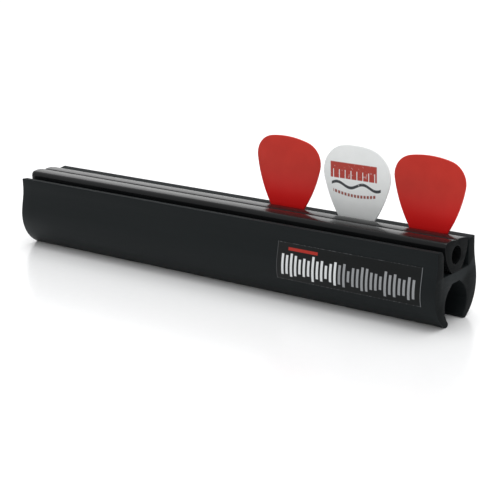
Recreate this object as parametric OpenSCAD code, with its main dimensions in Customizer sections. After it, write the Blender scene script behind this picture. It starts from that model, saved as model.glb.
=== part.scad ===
// Clip-on pick holder: a long extruded rail that snaps onto a stand tube,
// with a soft insert in its top pocket that pinches picks against the wall.
// X runs along the rail, Y from front to back, Z up. The origin is at the
// middle of the base. All sizes are in millimetres.

/* [Rail] */
// Length of the rail
rail_len = 180; // [120:1:240]
// Height of the rail, from the lip bottoms to the outer edge of the rear wall
rail_h = 26.1; // [25.6:0.1:26.8]
// Half width of the rail at the top of its walls
wall_half = 11.5; // [11:0.1:12.6]
// Radius of the round lower half of the rail
bulge_r = 13.1; // [12.8:0.1:13.6]
// How much lower the front wall is than the rear one
front_wall_drop = 0.3; // [0:0.1:0.6]
// How far the wall tops slope down towards the pocket
wall_slope_drop = 0.3; // [0.1:0.1:0.6]
// How far each wall is cut back at the mouth of the pocket
flare_w = 1; // [0.5:0.1:1.4]
// Height of the rounded cut at the mouth of the pocket
flare_h = 2.9; // [2:0.1:3.5]

/* [Tube channel] */
// Radius of the channel that snaps onto the tube
channel_r = 7; // [6.6:0.1:7.2]
// Width of the flat that relieves the top of the channel
ceiling_flat_w = 4.6; // [3:0.1:6]
// Radius of the rounded lip tips
lip_tip_r = 0.95; // [0.8:0.05:1.1]

/* [Pocket and insert] */
// Half width of the pocket
pocket_half = 7.85; // [7.7:0.05:8.1]
// Thickness of the web between the channel and the pocket
web_t = 3.45; // [3:0.05:4]
// Gap between the insert's shoulder and the wall, where the picks go
pick_gap = 0.9; // [0.8:0.05:1]
// How far the insert stops short of the rail's left end
insert_short = 0.6; // [0:0.1:4]
// How much lower the insert's rear shoulder is than its front one
rear_drop = 0.9; // [0:0.1:1.2]
// Radius of the hole through the insert, which lets it squeeze
insert_bore_r = 3; // [2.5:0.05:3.4]
// Half width of the insert where it joins the pocket floor
insert_foot_half = 2.7; // [2.2:0.1:3.4]

/* [Picks] */
// Width of a pick at its widest
pick_w = 26.1; // [24:0.1:26.4]
// Thickness of a pick
pick_t = 0.75; // [0.5:0.01:0.78]
// Distance between the middles of neighbouring picks
pick_pitch = 27.5; // [27.2:0.1:29]
// Distance from the right pick's middle to the rail's right end
pick_margin = 14.2; // [13.6:0.1:16]
// Radius of a pick's tip
pick_tip_r = 3.5; // [3:0.5:5]
// Radius of a pick's long sides
pick_side_r = 44; // [36:1:48]

/* [Label] */
// Length of the label film
label_len = 55.2; // [40:0.1:60]
// Height of the label film
label_h = 12.6; // [8:0.1:13]
// Thickness of the label film
label_t = 0.12; // [0.1:0.02:0.3]
// Distance from the label to the rail's right end
label_margin = 5.1; // [2:0.1:8]

/* [Hidden] */

ROUND_FN = 96;
ARC_STEPS = 10;
CLEAR = 1;

// Rail heights, measured up from the bottom of the lips.
bulge_z = 11.5;
waist_z = 22.5;
channel_z = 6.5;
ceiling_z = channel_z + channel_r;
floor_z = ceiling_z + web_t;
flare_half = pocket_half + flare_w;
flare_r = 4;

// The flat's slanting ends touch the channel from inside.
flat_half = ceiling_flat_w / 2;
flat_turn = 2 * atan(flat_half / channel_r);
flat_end_y = channel_r * sin(flat_turn);
flat_end_z = channel_z + channel_r * cos(flat_turn);

// The lip tips touch the channel from outside, so it runs into them smoothly.
tip_z = lip_tip_r;
tip_y = sqrt(pow(channel_r + lip_tip_r, 2) - pow(channel_z - tip_z, 2));
tip_touch = channel_r / (channel_r + lip_tip_r);
tip_touch_y = tip_y * tip_touch;
tip_touch_z = channel_z - (channel_z - tip_z) * tip_touch;

// Insert heights and half widths. Its top stands a little proud of the walls.
insert_rise = 1.15;
bore_rise = 5.45;
shoulder_drop = 1.85;
shoulder_inset = 1.45;
shoulder_straight = 1;
insert_half = pocket_half - pick_gap;
insert_top_z = rail_h + insert_rise;
insert_bore_z = floor_z + bore_rise;
shoulder_top_y = insert_half - shoulder_inset;
shoulder_r = 1.6;
lobe_r = 12;
flank_r = 15;
groove_edge_y = 0.3;
groove_floor_y = 0.15;
groove_depth = 0.4;

// Picks stand in the rear gap. Each row is the position along the rail, the
// tilt, the half spacing of the corner centres, and the height of the widest line.
pick_y = pocket_half - pick_gap / 2;
pick_top_z = 50.95;
pick_tip_z = 19.2;
right_pick_x = rail_len / 2 - pick_margin;
LEFT_PICK = [right_pick_x - 2 * pick_pitch, 4.3, 5.85, 43.1];
MIDDLE_PICK = [right_pick_x - pick_pitch, 1.7, 3.45, 41.1];
RIGHT_PICK = [right_pick_x, 1.3, 5.85, 43.1];

label_x = rail_len / 2 - label_margin - label_len / 2;
label_z = 14.2;

// Points of the arc of radius r from p to q, bulging to the right of the way there.
function arc_between(p, q, r, steps) =
    let (half = norm(q - p) / 2,
         along = (q - p) / (2 * half),
         side = [along[1], -along[0]],
         centre = (p + q) / 2 - side * sqrt(r * r - half * half),
         spread = asin(half / r))
    [for (i = [0 : steps])
        let (a = -spread + 2 * spread * i / steps)
        centre + r * (cos(a) * side + sin(a) * along)];

function mirrored(points) = [for (i = [len(points) - 1 : -1 : 0]) [-points[i][0], points[i][1]]];

// Half width of the rail's outside between the bulge and the straight wall.
function blend_half(t) = bulge_r + (wall_half - bulge_r) * (1 - cos(180 * t)) / 2;

// Extrudes a front-to-back section along the rail, centred on x.
module along_rail(length, x = 0) {
    translate([x - length / 2, 0, 0])
        rotate([90, 0, 90])
            linear_extrude(height = length)
                children();
}

// Outline of one side above the bulge: a flank, and a wall with a rounded inner edge.
function rail_side(top_z) =
    let (flank = [for (i = [0 : ARC_STEPS])
             let (t = i / ARC_STEPS)
             [blend_half(t), bulge_z + t * (waist_z - bulge_z)]],
         wall_top = [flare_half, top_z - wall_slope_drop],
         pocket_edge = [pocket_half, top_z - flare_h])
    concat(flank, [[wall_half, top_z]], arc_between(wall_top, pocket_edge, flare_r, ARC_STEPS));

// Outside of the rail: a rear and a front wall, that swell into the round lower half.
module rail_outside() {
    polygon(concat(rail_side(rail_h), mirrored(rail_side(rail_h - front_wall_drop))));
    intersection() {
        translate([0, bulge_z])
            circle(r = bulge_r, $fn = ROUND_FN);
        translate([-bulge_r, 0])
            square([2 * bulge_r, bulge_z]);
    }
}

// The way into the channel, between the lips, as far as their rounded tips.
module mouth() {
    polygon([
        [-tip_y, -CLEAR], [tip_y, -CLEAR],
        [tip_y, tip_z], [tip_touch_y, tip_touch_z],
        [0, channel_z],
        [-tip_touch_y, tip_touch_z], [-tip_y, tip_z]
    ]);
}

// The flat that relieves the top of the channel.
module ceiling_flat() {
    polygon([
        [flat_half, ceiling_z], [flat_end_y, flat_end_z],
        [0, channel_z],
        [-flat_end_y, flat_end_z], [-flat_half, ceiling_z]
    ]);
}

module clip_rail() {
    color([0.14, 0.15, 0.16])
        difference() {
            along_rail(rail_len) {
                difference() {
                    rail_outside();
                    translate([-pocket_half, floor_z])
                        square([2 * pocket_half, rail_h]);
                    ceiling_flat();
                    mouth();
                }
                for (side = [-1, 1])
                    translate([side * tip_y, tip_z])
                        circle(r = lip_tip_r, $fn = ROUND_FN);
            }
            translate([-rail_len / 2 - CLEAR, 0, channel_z])
                rotate([0, 90, 0])
                    cylinder(r = channel_r, h = rail_len + 2 * CLEAR, $fn = ROUND_FN);
        }
}

// Outline of one side of the insert, whose shoulder tops out at top_z.
function insert_side(top_z) =
    let (foot = [insert_foot_half, floor_z],
         shoulder_low = [insert_half, top_z - shoulder_drop],
         flank_top = shoulder_low - [0, shoulder_straight],
         shoulder_top = [shoulder_top_y, top_z],
         groove_edge = [groove_edge_y, insert_top_z])
    concat(
        arc_between(foot, flank_top, flank_r, ARC_STEPS),
        arc_between(shoulder_low, shoulder_top, shoulder_r, ARC_STEPS),
        arc_between(shoulder_top, groove_edge, lobe_r, ARC_STEPS),
        [[groove_floor_y, insert_top_z - groove_depth]]);

// Soft insert: a foot on the pocket floor, flanks that widen to the shoulders,
// and a low two-lobed top that falls to the rear, with a shallow groove along its middle.
module grip_insert() {
    rear = insert_side(insert_top_z - rear_drop / 2);
    front = insert_side(insert_top_z + rear_drop / 2);
    color([0.1, 0.11, 0.12])
        difference() {
            along_rail(rail_len - insert_short, insert_short / 2)
                polygon(concat(rear, mirrored(front)));
            translate([-rail_len / 2 - CLEAR, 0, insert_bore_z])
                rotate([0, 90, 0])
                    cylinder(r = insert_bore_r, h = rail_len + 2 * CLEAR, $fn = ROUND_FN);
        }
}

// Thin film that follows the front of the rail.
module front_label() {
    color([0.06, 0.06, 0.07])
        along_rail(label_len, label_x)
            intersection() {
                difference() {
                    translate([-label_t, 0])
                        rail_outside();
                    rail_outside();
                }
                translate([-bulge_r - CLEAR, label_z - label_h / 2])
                    square([bulge_r, label_h]);
            }
}

// Outline of a pick about its widest line: a flat top arc, two round corners,
// two long sides and a round tip, each running smoothly into the next.
module pick_outline(corner_y, rise, depth) {
    corner_r = pick_w / 2 - corner_y;
    crown = rise - corner_r;
    top_r = (corner_y * corner_y + rise * rise - corner_r * corner_r) / (2 * crown);
    corner = [corner_y, 0];
    tip = [0, pick_tip_r - depth];
    to_corner = pick_side_r - corner_r;
    to_tip = pick_side_r - pick_tip_r;
    span = norm(corner - tip);
    along = (corner - tip) / span;
    foot = (to_tip * to_tip - to_corner * to_corner + span * span) / (2 * span);
    side_centre = tip + along * foot
        + [-along[1], along[0]] * sqrt(to_tip * to_tip - foot * foot);
    top_centre = [0, rise - top_r];

    tip_end = atan2(tip[1] - side_centre[1], tip[0] - side_centre[0]);
    corner_start = atan2(-side_centre[1], corner_y - side_centre[0]);
    corner_end = atan2(-top_centre[1], corner_y);
    right_side = concat(
        arc_points(tip, pick_tip_r, -90, tip_end),
        arc_points(side_centre, pick_side_r, tip_end, corner_start),
        arc_points(corner, corner_r, corner_start, corner_end),
        arc_points(top_centre, top_r, corner_end, 90));
    polygon(concat(right_side, mirrored(right_side)));
}

// Points on a circle from one angle to another, without the last one.
function arc_points(centre, r, from, to) =
    [for (i = [0 : ARC_STEPS - 1])
        let (a = from + (to - from) * i / ARC_STEPS)
        centre + r * [cos(a), sin(a)]];

module pick(place) {
    widest_z = place[3];
    translate([place[0], pick_y + pick_t / 2, widest_z])
        rotate([90, place[1], 0])
            linear_extrude(height = pick_t)
                pick_outline(place[2], pick_top_z - widest_z, widest_z - pick_tip_z);
}

module pick_left() {
    color([0.72, 0.17, 0.14])
        pick(LEFT_PICK);
}

module pick_middle() {
    color([0.86, 0.87, 0.88])
        pick(MIDDLE_PICK);
}

module pick_right() {
    color([0.72, 0.17, 0.14])
        pick(RIGHT_PICK);
}

clip_rail();
grip_insert();
front_label();
pick_left();
pick_middle();
pick_right();
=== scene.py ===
"""Looks of the clip-on pick holder: a rail with a soft insert, a label and three picks."""
import math

import bpy
from mathutils import Matrix, Vector


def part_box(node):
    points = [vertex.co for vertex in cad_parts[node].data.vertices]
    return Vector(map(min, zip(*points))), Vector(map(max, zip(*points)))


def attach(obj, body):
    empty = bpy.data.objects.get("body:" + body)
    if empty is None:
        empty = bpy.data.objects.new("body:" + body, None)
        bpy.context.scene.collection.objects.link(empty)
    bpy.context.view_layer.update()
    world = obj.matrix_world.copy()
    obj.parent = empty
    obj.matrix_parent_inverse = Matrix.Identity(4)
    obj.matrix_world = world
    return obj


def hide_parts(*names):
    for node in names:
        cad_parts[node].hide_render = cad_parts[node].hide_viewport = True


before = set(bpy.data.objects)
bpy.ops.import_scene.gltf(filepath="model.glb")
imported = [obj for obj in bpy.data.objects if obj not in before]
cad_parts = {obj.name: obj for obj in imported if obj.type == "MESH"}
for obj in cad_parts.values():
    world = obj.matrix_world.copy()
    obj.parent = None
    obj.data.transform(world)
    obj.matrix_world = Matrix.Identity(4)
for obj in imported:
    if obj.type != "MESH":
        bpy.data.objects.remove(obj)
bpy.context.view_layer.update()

MM = 0.001
TINY = 0.01 * MM
TOUCHING = 0.001 * MM
FLAT = math.radians(0.5)


# ---------------------------------------------------------------- modelling

def pick_up(part):
    """Makes one object the only thing selected."""
    bpy.ops.object.select_all(action="DESELECT")
    part.select_set(True)
    bpy.context.view_layer.objects.active = part


def open_mesh(part, mode="FACE"):
    """Goes into edit mode on a part with all of it selected."""
    pick_up(part)
    bpy.ops.object.mode_set(mode="EDIT")
    bpy.ops.mesh.select_mode(type=mode)
    bpy.ops.mesh.select_all(action="SELECT")


def close_mesh():
    bpy.ops.object.mode_set(mode="OBJECT")


def choose_faces(part, test):
    """Selects only the faces of an open mesh whose middles pass the test."""
    close_mesh()
    mesh = part.data
    for group in (mesh.vertices, mesh.edges, mesh.polygons):
        group.foreach_set("select", [False] * len(group))
    for face in mesh.polygons:
        face.select = test(face.center)
    bpy.ops.object.mode_set(mode="EDIT")
    bpy.ops.mesh.select_mode(type="FACE")


def copy_of(node, name):
    """A merged copy of a CAD node's mesh, as a new object with its mesh open."""
    part = bpy.data.objects.new(name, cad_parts[node].data.copy())
    part.data.name = name
    part.data.materials.clear()
    bpy.context.scene.collection.objects.link(part)
    if part.data.has_custom_normals:
        pick_up(part)
        bpy.ops.mesh.customdata_custom_splitnormals_clear()
    open_mesh(part)
    bpy.ops.mesh.remove_doubles(threshold=TOUCHING)
    return part


def keep_right_end(part, right):
    """Deletes all but the flat face at the right end of an open mesh, and selects that."""
    choose_faces(part, lambda middle: middle.x < right - TINY)
    bpy.ops.mesh.delete(type="FACE")
    bpy.ops.mesh.select_all(action="SELECT")


def pull_left(length, rings):
    """Extrudes what is selected towards the left, in rings of equal length."""
    for _ in range(rings):
        bpy.ops.mesh.extrude_region_move(TRANSFORM_OT_translate={"value": (-length / rings, 0, 0)})


def face_outwards():
    bpy.ops.mesh.select_all(action="SELECT")
    bpy.ops.mesh.normals_make_consistent(inside=False)


def round_edges(part, width, segments, angle):
    """Rounds every edge sharper than the angle, and merges points that end up together."""
    pick_up(part)
    bevel = part.modifiers.new("edges", "BEVEL")
    bevel.width = width
    bevel.segments = segments
    bevel.limit_method = "ANGLE"
    bevel.angle_limit = math.radians(angle)
    bevel.miter_outer = "MITER_ARC"
    bpy.ops.object.modifier_apply(modifier=bevel.name)
    open_mesh(part, "VERT")
    bpy.ops.mesh.remove_doubles(threshold=TOUCHING)
    bpy.ops.mesh.dissolve_degenerate(threshold=TOUCHING / 10)
    close_mesh()


def unevenness(part, amount, stretch, test):
    """Pulls in the points that pass the test a little, by soft noise, to unsettle highlights."""
    chosen = part.vertex_groups.new(name="uneven")
    chosen.add([v.index for v in part.data.vertices if test(v.co)], 1, "REPLACE")
    texture = bpy.data.textures.new(part.name + "_noise", "CLOUDS")
    texture.noise_scale = 1
    texture.noise_depth = 1
    grid = bpy.data.objects.new(part.name + "_grid", None)
    grid.scale = [s * MM for s in stretch]
    bpy.context.scene.collection.objects.link(grid)
    bpy.context.view_layer.update()
    pick_up(part)
    waves = part.modifiers.new("waves", "DISPLACE")
    waves.texture = texture
    waves.texture_coords = "OBJECT"
    waves.texture_coords_object = grid
    waves.direction = "NORMAL"
    waves.mid_level = 1
    waves.strength = amount
    waves.vertex_group = chosen.name
    bpy.ops.object.modifier_apply(modifier=waves.name)
    bpy.data.objects.remove(grid)
    bpy.data.textures.remove(texture)
    part.vertex_groups.clear()


def soften(part, angle):
    pick_up(part)
    bpy.ops.object.shade_smooth_by_angle(angle=math.radians(angle))


def second_finish(part, finish, test):
    """Gives the faces whose normals pass the test a finish of their own."""
    part.data.materials.append(finish)
    for face in part.data.polygons:
        if test(face.normal):
            face.material_index = 1


def along_rail(normal):
    return abs(normal.x) > 0.9


def to_the_front(normal):
    return normal.y < -0.9


def finish_piece(part, body, node):
    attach(part, body)
    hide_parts(node)


# ---------------------------------------------------------------- materials

class Finish:
    """A material under construction. Each call adds nodes and gives the last one's output."""

    def __init__(self, name):
        self.material = bpy.data.materials.new(name)
        self.material.use_nodes = True
        self.tree = self.material.node_tree
        self.tree.nodes.clear()
        self.shader = self.tree.nodes.new("ShaderNodeBsdfPrincipled")
        output = self.tree.nodes.new("ShaderNodeOutputMaterial")
        self.tree.links.new(self.shader.outputs["BSDF"], output.inputs["Surface"])
        self.places = self.tree.nodes.new("ShaderNodeTexCoord").outputs["Object"]

    def put(self, socket, value):
        """Sets a socket to a fixed value, or links it to another node's output."""
        if isinstance(value, bpy.types.NodeSocket):
            self.tree.links.new(value, socket)
        elif socket.type == "RGBA":
            socket.default_value = (*value, 1)
        else:
            socket.default_value = value

    def set(self, **values):
        """Sets the shader's sockets, named with _ for a space."""
        for name, value in values.items():
            self.put(self.shader.inputs[name.replace("_", " ")], value)

    def stretched(self, scale, turn=(0, 0, 0)):
        """Places stretched along each axis, after a turn in degrees."""
        node = self.tree.nodes.new("ShaderNodeMapping")
        node.inputs["Scale"].default_value = scale
        node.inputs["Rotation"].default_value = [math.radians(a) for a in turn]
        self.put(node.inputs["Vector"], self.places)
        return node.outputs["Vector"]

    def noise(self, where, scale=1.0, detail=3.0, rough=0.5, warp=0.0):
        node = self.tree.nodes.new("ShaderNodeTexNoise")
        self.put(node.inputs["Vector"], where)
        node.inputs["Scale"].default_value = scale
        node.inputs["Detail"].default_value = detail
        node.inputs["Roughness"].default_value = rough
        node.inputs["Distortion"].default_value = warp
        return node.outputs["Fac"]

    def spread(self, value, low, high, to_low=0.0, to_high=1.0, smooth=False):
        """Maps one range of values onto another, and clamps it there."""
        node = self.tree.nodes.new("ShaderNodeMapRange")
        node.interpolation_type = "SMOOTHSTEP" if smooth else "LINEAR"
        self.put(node.inputs["Value"], value)
        node.inputs["From Min"].default_value = low
        node.inputs["From Max"].default_value = high
        node.inputs["To Min"].default_value = to_low
        node.inputs["To Max"].default_value = to_high
        return node.outputs["Result"]

    def sum(self, operation, first, second=0.0):
        node = self.tree.nodes.new("ShaderNodeMath")
        node.operation = operation
        self.put(node.inputs[0], first)
        self.put(node.inputs[1], second)
        return node.outputs[0]

    def plus(self, first, second):
        return self.sum("ADD", first, second)

    def minus(self, first, second):
        return self.sum("SUBTRACT", first, second)

    def times(self, first, second):
        return self.sum("MULTIPLY", first, second)

    def either(self, first, second):
        return self.sum("MAXIMUM", first, second)

    def distance(self, value, centre):
        return self.sum("ABSOLUTE", self.minus(value, centre))

    def swing(self, value, rate):
        """A sine wave along a value, in radians for each unit of it."""
        return self.sum("SINE", self.times(value, rate))

    def within(self, value, pitch):
        """How far a value is into the step of a row with this pitch, from 0 to 1."""
        return self.sum("FRACT", self.sum("DIVIDE", value, pitch))

    def axes(self):
        node = self.tree.nodes.new("ShaderNodeSeparateXYZ")
        self.put(node.inputs[0], self.places)
        return node.outputs["X"], node.outputs["Y"], node.outputs["Z"]

    def mix(self, share, first, second):
        node = self.tree.nodes.new("ShaderNodeMix")
        node.data_type = "RGBA"
        self.put(node.inputs["Factor"], share)
        first_colour, second_colour = [s for s in node.inputs if s.type == "RGBA"]
        self.put(first_colour, first)
        self.put(second_colour, second)
        return next(s for s in node.outputs if s.type == "RGBA")

    def bump(self, height, strength, depth, under=None):
        node = self.tree.nodes.new("ShaderNodeBump")
        self.put(node.inputs["Height"], height)
        node.inputs["Strength"].default_value = strength
        node.inputs["Distance"].default_value = depth
        if under is not None:
            self.put(node.inputs["Normal"], under)
        return node.outputs["Normal"]

    def between(self, value, low, high, edge):
        """1 where a value lies between two limits, with soft edges."""
        rise = self.spread(value, low - edge, low + edge)
        fall = self.spread(value, high - edge, high + edge, 1, 0)
        return self.times(rise, fall)


def rail_plastic(left):
    """Satin black plastic with lines from the die, and a painted highlight: paler grey low down at
    the left end.
    """
    black = (0.0064, 0.0086, 0.0094)
    charcoal = (0.0088, 0.0113, 0.0122)
    line_grey = (0.015, 0.0172, 0.018)
    # painted highlight: the paler grey low down at the left end
    highlight_grey = (0.07, 0.075, 0.078)
    highlight_start = left + 0.5 * MM
    highlight_end = left + 18 * MM
    highlight_low = 2 * MM
    highlight_high = 9 * MM
    highlight_soft = 4 * MM
    lip_low = 25.3 * MM
    lip_high = 25.8 * MM
    f = Finish("rail_plastic")
    die_lines = f.noise(f.stretched((6, 1400, 1400)), detail=4, rough=0.65)
    broad = f.noise(f.stretched((12, 120, 120)), detail=3)
    grain = f.noise(f.places, scale=5200, detail=2)
    patches = f.noise(f.places, scale=130, detail=4)
    body = f.mix(f.spread(broad, 0.35, 0.7), black, charcoal)
    body = f.mix(f.spread(die_lines, 0.55, 0.8, 0, 0.5), body, line_grey)
    x, _, z = f.axes()
    # painted highlight: paler grey fading in from the left end, between two heights, in patches
    painted_highlight = f.times(f.spread(x, highlight_start, highlight_end, 1, 0, smooth=True),
                     f.between(z, highlight_low, highlight_high, highlight_soft))
    painted_highlight = f.times(painted_highlight, f.spread(patches, 0.3, 0.7, 0.5, 1))
    body = f.mix(f.times(painted_highlight, 0.3), body, highlight_grey)
    gloss = f.spread(die_lines, 0.3, 0.7, 0.44, 0.52)
    gloss = f.plus(gloss, f.spread(broad, 0.3, 0.7, -0.03, 0.03))
    gloss = f.plus(gloss, f.spread(z, lip_low, lip_high, 0, 0.25))
    lines = f.bump(die_lines, 0.10, 0.06 * MM)
    f.set(Base_Color=body, Roughness=gloss, Normal=f.bump(grain, 0.12, 0.02 * MM, lines))
    f.set(Specular_IOR_Level=0.12)
    return f.material


def saw_cut():
    """The rail's sawn ends: saw marks, scuffs, and a painted band of light along the web, paler
    below a slanting line.
    """
    black = (0.0052, 0.0063, 0.0067)
    # painted light: the paler grey of a lit band along the web
    lit_band_grey = (0.0205, 0.0238, 0.0252)
    scuff_grey = (0.022, 0.025, 0.0265)
    band_edge = (16.6 * MM, 17.4 * MM)
    fade_heights = (10.6 * MM, 13.2 * MM)
    fade_depths = (-11 * MM, -4 * MM)
    pocket_half = 7.85 * MM
    wall_slant = 0.6
    web_slant = 0.35
    f = Finish("saw_cut_plastic")
    _, y, z = f.axes()
    marks = f.noise(f.stretched((1, 300, 2600), turn=(28, 0, 0)), detail=4, rough=0.6)
    scuffs = f.noise(f.places, scale=420, detail=4, rough=0.6)
    blotches = f.noise(f.places, scale=95, detail=3)
    # painted light: the band is paler below a line that slants up into the back wall, and fades out
    # low on the web and towards the front
    into_wall = f.either(f.minus(y, pocket_half), 0.0)
    band_top = f.minus(z, f.times(into_wall, wall_slant))
    under = f.spread(band_top, *band_edge, 1, 0, smooth=True)
    along_web = f.minus(z, f.times(y, web_slant))
    fade = f.times(f.spread(along_web, *fade_heights, 0.2, 1, smooth=True),
                   f.spread(y, *fade_depths, 0.2, 1))
    # painted light, broken into blotches
    print_wear_and_lit_band = f.times(f.times(under, fade), f.spread(blotches, 0.3, 0.65, 0.6, 1))
    body = f.mix(print_wear_and_lit_band, black, lit_band_grey)
    body = f.mix(f.spread(scuffs, 0.55, 0.8, 0, 0.3), body, scuff_grey)
    normal = f.bump(scuffs, 0.15, 0.06 * MM, f.bump(marks, 0.22, 0.08 * MM))
    f.set(Base_Color=body, Roughness=f.spread(marks, 0.3, 0.7, 0.5, 0.66), Normal=normal)
    f.set(Specular_IOR_Level=0.05)
    return f.material


def insert_rubber():
    """Glossy black soft plastic with smears along its length."""
    black = (0.0055, 0.006, 0.0064)
    smear_grey = (0.009, 0.0098, 0.0102)
    f = Finish("insert_rubber")
    ripples = f.noise(f.stretched((160, 30, 30)), detail=2, rough=0.4)
    smears = f.noise(f.stretched((25, 90, 90)), detail=4, rough=0.55)
    grain = f.noise(f.places, scale=3600, detail=2)
    body = f.mix(f.spread(smears, 0.3, 0.75), black, smear_grey)
    gloss = f.spread(smears, 0.3, 0.75, 0.17, 0.28)
    normal = f.bump(grain, 0.05, 0.02 * MM, f.bump(ripples, 0.08, 0.3 * MM))
    f.set(Base_Color=body, Roughness=gloss, Normal=normal, Specular_IOR_Level=0.19)
    return f.material


def insert_cut():
    """The insert's cut ends: dull, with fine cut marks."""
    black = (0.0045, 0.0052, 0.0055)
    charcoal = (0.0085, 0.0095, 0.01)
    f = Finish("insert_cut_ends")
    marks = f.noise(f.stretched((1, 250, 2200), turn=(20, 0, 0)), detail=4, rough=0.6)
    blotches = f.noise(f.places, scale=200, detail=3)
    f.set(Base_Color=f.mix(blotches, black, charcoal))
    f.set(Roughness=f.spread(marks, 0.3, 0.7, 0.5, 0.62))
    f.set(Normal=f.bump(marks, 0.15, 0.06 * MM), Specular_IOR_Level=0.025)
    return f.material


def pick_finish(name, deep, light, gloss_low, gloss_high):
    """The parts that all picks share: mottled colour, satin gloss, a fine tumbled grain."""
    f = Finish(name)
    mottle = f.noise(f.places, scale=160, detail=3, rough=0.55)
    swirl = f.noise(f.stretched((260, 260, 120), turn=(0, 20, 0)), detail=4, rough=0.6, warp=0.6)
    grain = f.noise(f.places, scale=2600, detail=3)
    scratches = f.noise(f.stretched((900, 900, 60), turn=(0, 35, 0)), detail=4, rough=0.7)
    colour = f.mix(f.spread(mottle, 0.3, 0.7), deep, light)
    colour = f.mix(f.spread(swirl, 0.45, 0.8, 0, 0.2), colour, deep)
    gloss = f.spread(grain, 0.3, 0.7, gloss_low, gloss_high)
    normal = f.bump(grain, 0.12, 0.03 * MM, f.bump(scratches, 0.05, 0.04 * MM))
    f.set(Roughness=gloss, Normal=normal)
    return f, colour


def red_pick():
    """Satin red, with painted light: a brighter, purer red low down towards the tip, against the
    shade of the rail.
    """
    deep = (0.50, 0.017, 0.007)
    light = (0.55, 0.022, 0.010)
    # painted light: brighter red for the low part of the pick, near the rail
    lit_tip_red = (0.74, 0.010, 0.010)
    pure_below = 27 * MM
    mottled_above = 42 * MM
    f, colour = pick_finish("red_celluloid", deep, light, 0.34, 0.42)
    _, _, z = f.axes()
    # painted light: the red is lifted low down, towards the tip
    painted_light_near_tip = f.spread(z, pure_below, mottled_above, 1, 0, smooth=True)
    f.set(Base_Color=f.mix(painted_light_near_tip, colour, lit_tip_red), Specular_IOR_Level=0.3)
    return f.material


def white_finish(name):
    deep = (0.83, 0.85, 0.845)
    light = (0.88, 0.895, 0.89)
    f, colour = pick_finish(name, deep, light, 0.32, 0.4)
    f.set(Base_Color=colour, Specular_IOR_Level=0.5)
    return f, colour


def plain_white_pick():
    f, _ = white_finish("white_celluloid")
    return f.material


def printed_white_pick(middle_x):
    """A red band slit like a comb, over a thick dark wave and a bowed row of rust dots."""
    band_red = (0.42, 0.026, 0.012)
    wave_grey = (0.02, 0.025, 0.03)
    dot_rust = (0.30, 0.06, 0.04)
    soft = 0.12 * MM
    crisp = 0.1 * MM
    band_span = (-10.2 * MM, 7.9 * MM)
    band_heights = (39.3 * MM, 44.7 * MM)
    slit_pitch = 2.3 * MM
    slit_width = 0.3 * MM
    slit_soft = 0.08 * MM
    slit_top = 42.2 * MM
    wave_span = (-9.8 * MM, 9.4 * MM)
    wave_heights = (36.7 * MM, 37.7 * MM)
    wave_swing = 0.8 * MM
    wave_rate = 620
    dots_span = (-9.2 * MM, 7.6 * MM)
    dots_heights = (33.3 * MM, 34.3 * MM)
    dots_bow = 14
    dot_pitch = 1.25 * MM
    dot_reach = (0.2 * MM, 1.05 * MM)
    f, colour = white_finish("printed_celluloid")
    x, _, z = f.axes()
    along = f.minus(x, middle_x)
    print_wear_and_lit_band = f.spread(f.noise(f.places, scale=700, detail=3), 0.28, 0.4, 0.6, 1)

    into_slit = f.times(f.within(along, slit_pitch), slit_pitch)
    teeth = f.either(f.between(into_slit, slit_width, slit_pitch + crisp, slit_soft),
                     f.spread(z, slit_top - crisp, slit_top + crisp))
    band = f.times(f.times(f.between(along, *band_span, soft), teeth),
                   f.between(z, *band_heights, soft))

    swung = f.minus(z, f.times(f.swing(along, wave_rate), wave_swing))
    wave = f.times(f.between(swung, *wave_heights, crisp),
                   f.between(along, *wave_span, soft))

    bowed = f.minus(z, f.times(f.times(along, along), dots_bow))
    into_dot = f.times(f.within(along, dot_pitch), dot_pitch)
    dots = f.times(f.between(bowed, *dots_heights, soft),
                   f.times(f.between(into_dot, *dot_reach, soft),
                           f.between(along, *dots_span, soft)))

    for shape, ink in ((band, band_red), (wave, wave_grey), (dots, dot_rust)):
        colour = f.mix(f.times(shape, print_wear_and_lit_band), colour, ink)
    f.set(Base_Color=colour)
    return f.material


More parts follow.
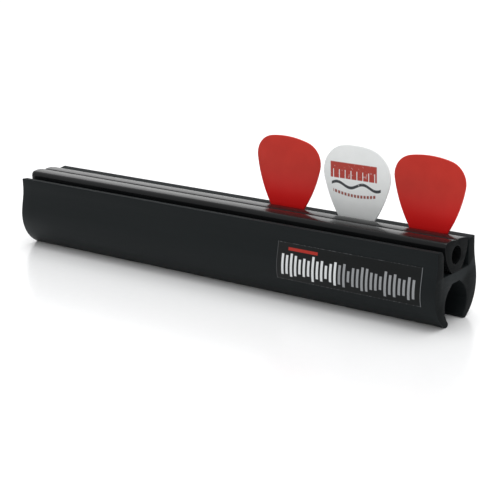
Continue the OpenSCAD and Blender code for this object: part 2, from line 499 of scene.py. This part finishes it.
def label_film(left, right, low, high):
    """Black film with a level meter: upright bars, white on the left and grey on the right, and
    painted highlights along its edges, brightest down the right end.
    """
    black = (0.0058, 0.0068, 0.0070)
    charcoal = (0.0075, 0.0087, 0.0090)
    bar_white = (0.72, 0.74, 0.75)
    bar_grey = (0.30, 0.31, 0.32)
    strip_red = (0.4, 0.03, 0.02)
    # painted highlight: the grey of light caught on the label's edges
    edge_highlight_grey = (0.2, 0.21, 0.22)
    length = right - left
    height = high - low
    middle = (low + high) / 2
    meter_z = middle - 1 * MM
    fine = 0.05 * MM
    bar_count = 32
    bar_reach = (0.10 * height, 0.33 * height)
    slow_rate = 0.57
    quick_rate = 1.37
    white_share = 0.44
    f = Finish("label_film")
    x, _, z = f.axes()
    along = f.sum("DIVIDE", f.minus(x, left), length)

    count = f.times(along, bar_count)
    bar = f.sum("FRACT", count)
    step = f.sum("FLOOR", count)
    rise = f.plus(f.sum("ABSOLUTE", f.swing(step, slow_rate)),
                  f.sum("ABSOLUTE", f.swing(step, quick_rate)))
    reach = f.spread(rise, 0, 2, *bar_reach)
    inside = f.spread(f.minus(reach, f.distance(z, meter_z)), -fine, fine)
    bars = f.times(f.times(f.between(bar, 0.2, 0.72, 0.04), inside),
                   f.between(along, 0.032, 0.968, 0.002))
    bar_colour = f.mix(f.spread(along, white_share, white_share + 0.005), bar_white, bar_grey)
    strip = f.times(f.between(along, 0.08, 0.29, 0.002),
                    f.between(z, high - 2.5 * MM, high - 1.5 * MM, 0.06 * MM))

    # painted highlights: thin grey lines along the edges, brightest down the right end, broken by
    # specks along the long edges
    right_edge_highlight = f.between(x, right - 0.30 * MM, right - 0.04 * MM, fine)
    left_edge_highlight = f.between(x, left + 0.04 * MM, left + 0.26 * MM, fine)
    from_border = f.minus(height / 2, f.distance(z, middle))
    long_edge_highlights = f.between(from_border, 0.04 * MM, 0.24 * MM, fine)
    specks = f.spread(f.noise(f.places, scale=1500, detail=2), 0.5, 0.6, 0.06, 0.4)
    short_edge_highlights = f.either(f.times(right_edge_highlight, 0.75), f.times(left_edge_highlight, 0.3))
    painted_edge_highlight = f.either(short_edge_highlights, f.times(long_edge_highlights, specks))

    smudges = f.noise(f.stretched((60, 200, 200)), detail=4, rough=0.6)
    peel = f.noise(f.places, scale=900, detail=2)
    body = f.mix(f.spread(smudges, 0.3, 0.7), black, charcoal)
    for shape, ink in ((bars, bar_colour), (strip, strip_red), (painted_edge_highlight, edge_highlight_grey)):
        body = f.mix(shape, body, ink)
    f.set(Base_Color=body, Roughness=f.spread(smudges, 0.3, 0.7, 0.3, 0.4))
    f.set(Normal=f.bump(peel, 0.06, 0.04 * MM), Specular_IOR_Level=0.13)
    return f.material


def studio_floor():
    f = Finish("studio_floor")
    cloud = f.noise(f.places, scale=3, detail=2)
    grain = f.noise(f.places, scale=400, detail=2)
    f.set(Base_Color=f.mix(cloud, (0.86, 0.865, 0.87), (0.88, 0.885, 0.89)))
    f.set(Roughness=f.spread(grain, 0.3, 0.7, 0.2, 0.26), Specular_IOR_Level=0.4)
    return f.material


# ---------------------------------------------------------------- pieces

def make_rail():
    low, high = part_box("clip_rail")
    rail = copy_of("clip_rail", "rail")
    keep_right_end(rail, high.x)
    bpy.ops.mesh.dissolve_faces()
    pull_left(high.x - low.x, rings=36)
    face_outwards()
    close_mesh()
    round_edges(rail, width=0.22 * MM, segments=3, angle=38)
    unevenness(rail, amount=0.03 * MM, stretch=(38, 9, 9),
               test=lambda p: low.x + MM < p.x < high.x - MM)
    soften(rail, angle=32)
    rail.data.materials.append(rail_plastic(low.x))
    second_finish(rail, saw_cut(), along_rail)
    finish_piece(rail, "holder", "clip_rail")


def make_insert():
    low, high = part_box("grip_insert")
    top_low = high.z - 5 * MM
    insert = copy_of("grip_insert", "insert")
    keep_right_end(insert, high.x)
    bpy.ops.mesh.dissolve_limited(angle_limit=FLAT)
    bpy.ops.mesh.select_all(action="SELECT")
    pull_left(high.x - low.x, rings=120)
    face_outwards()
    close_mesh()
    round_edges(insert, width=0.25 * MM, segments=3, angle=45)
    unevenness(insert, amount=0.06 * MM, stretch=(8, 30, 30),
               test=lambda p: p.z > top_low and low.x + MM < p.x < high.x - MM)
    soften(insert, angle=32)
    insert.data.materials.append(insert_rubber())
    second_finish(insert, insert_cut(), along_rail)
    finish_piece(insert, "holder", "grip_insert")


def make_label():
    low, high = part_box("front_label")
    label = copy_of("front_label", "label")
    bpy.ops.mesh.dissolve_limited(angle_limit=FLAT)
    close_mesh()
    round_edges(label, width=0.035 * MM, segments=2, angle=45)
    soften(label, angle=32)
    label.data.materials.append(label_film(low.x, high.x, low.z, high.z))
    finish_piece(label, "holder", "front_label")


def make_pick(node, name, body, finish, front_finish=None):
    """A pick on a body of its own. Its front can have a finish that differs from the rest."""
    pick = copy_of(node, name)
    bpy.ops.mesh.dissolve_limited(angle_limit=FLAT)
    close_mesh()
    round_edges(pick, width=0.24 * MM, segments=4, angle=45)
    soften(pick, angle=34)
    pick.data.materials.append(finish)
    if front_finish:
        second_finish(pick, front_finish, to_the_front)
    finish_piece(pick, body, node)


def make_picks():
    low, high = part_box("pick_middle")
    red = red_pick()
    white = plain_white_pick()
    printed = printed_white_pick((low.x + high.x) / 2)
    make_pick("pick_left", "left_red_pick", "left_pick", red)
    make_pick("pick_middle", "middle_white_pick", "middle_pick", white, printed)
    make_pick("pick_right", "right_red_pick", "right_pick", red)


# ---------------------------------------------------------------- studio

def make_floor():
    bpy.ops.mesh.primitive_plane_add(size=12, location=(0, 0, 0))
    floor = bpy.context.object
    floor.name = "floor"
    floor.data.materials.append(studio_floor())


def soft_light(name, place, aim, width, height, power):
    lamp = bpy.data.lights.new(name, "AREA")
    lamp.shape = "RECTANGLE"
    lamp.size = width
    lamp.size_y = height
    lamp.energy = power
    softbox = bpy.data.objects.new(name, lamp)
    bpy.context.scene.collection.objects.link(softbox)
    facing = (Vector(aim) - Vector(place)).to_track_quat("-Z", "Y")
    softbox.matrix_world = Matrix.Translation(place) @ facing.to_matrix().to_4x4()


def set_camera(aim, distance, azimuth, elevation, roll, lens):
    """A camera at a distance from the point it looks at, turned round Z and tipped down."""
    turn = math.radians(azimuth)
    tip = math.radians(elevation)
    lean = math.radians(roll)
    ahead = Vector((-math.sin(turn) * math.cos(tip), math.cos(turn) * math.cos(tip), -math.sin(tip)))
    level = Vector((math.cos(turn), math.sin(turn), 0))
    upright = level.cross(ahead)
    across = math.cos(lean) * level + math.sin(lean) * upright
    up = math.cos(lean) * upright - math.sin(lean) * level
    data = bpy.data.cameras.new("camera")
    data.sensor_width = 36
    data.lens = lens
    data.clip_start = 0.01
    camera = bpy.data.objects.new("camera", data)
    bpy.context.scene.collection.objects.link(camera)
    pose = Matrix((across, up, -ahead)).transposed().to_4x4()
    pose.translation = Vector(aim) - distance * ahead
    camera.matrix_world = pose
    bpy.context.scene.camera = camera


def light_room(strength):
    world = bpy.data.worlds.new("white_room")
    world.use_nodes = True
    backdrop = world.node_tree.nodes["Background"]
    backdrop.inputs["Color"].default_value = (1, 1, 1, 1)
    backdrop.inputs["Strength"].default_value = strength
    bpy.context.scene.world = world


make_rail()
make_insert()
make_label()
make_picks()

make_floor()
light_room(strength=0.83)
soft_light("back_softbox", place=(-0.75, 1.0, 0.55), aim=(0, 0, 0.02),
           width=1.3, height=0.8, power=2.5)
soft_light("top_softbox", place=(0.1, 0.2, 1.4), aim=(0, 0, 0),
           width=1.2, height=1.2, power=11.5)
set_camera(aim=(0.00878, 0, 0.01073), distance=0.49989, azimuth=37.672, elevation=16.927,
           roll=-1.5575, lens=103.875)
bpy.context.scene.view_settings.view_transform = "Standard"
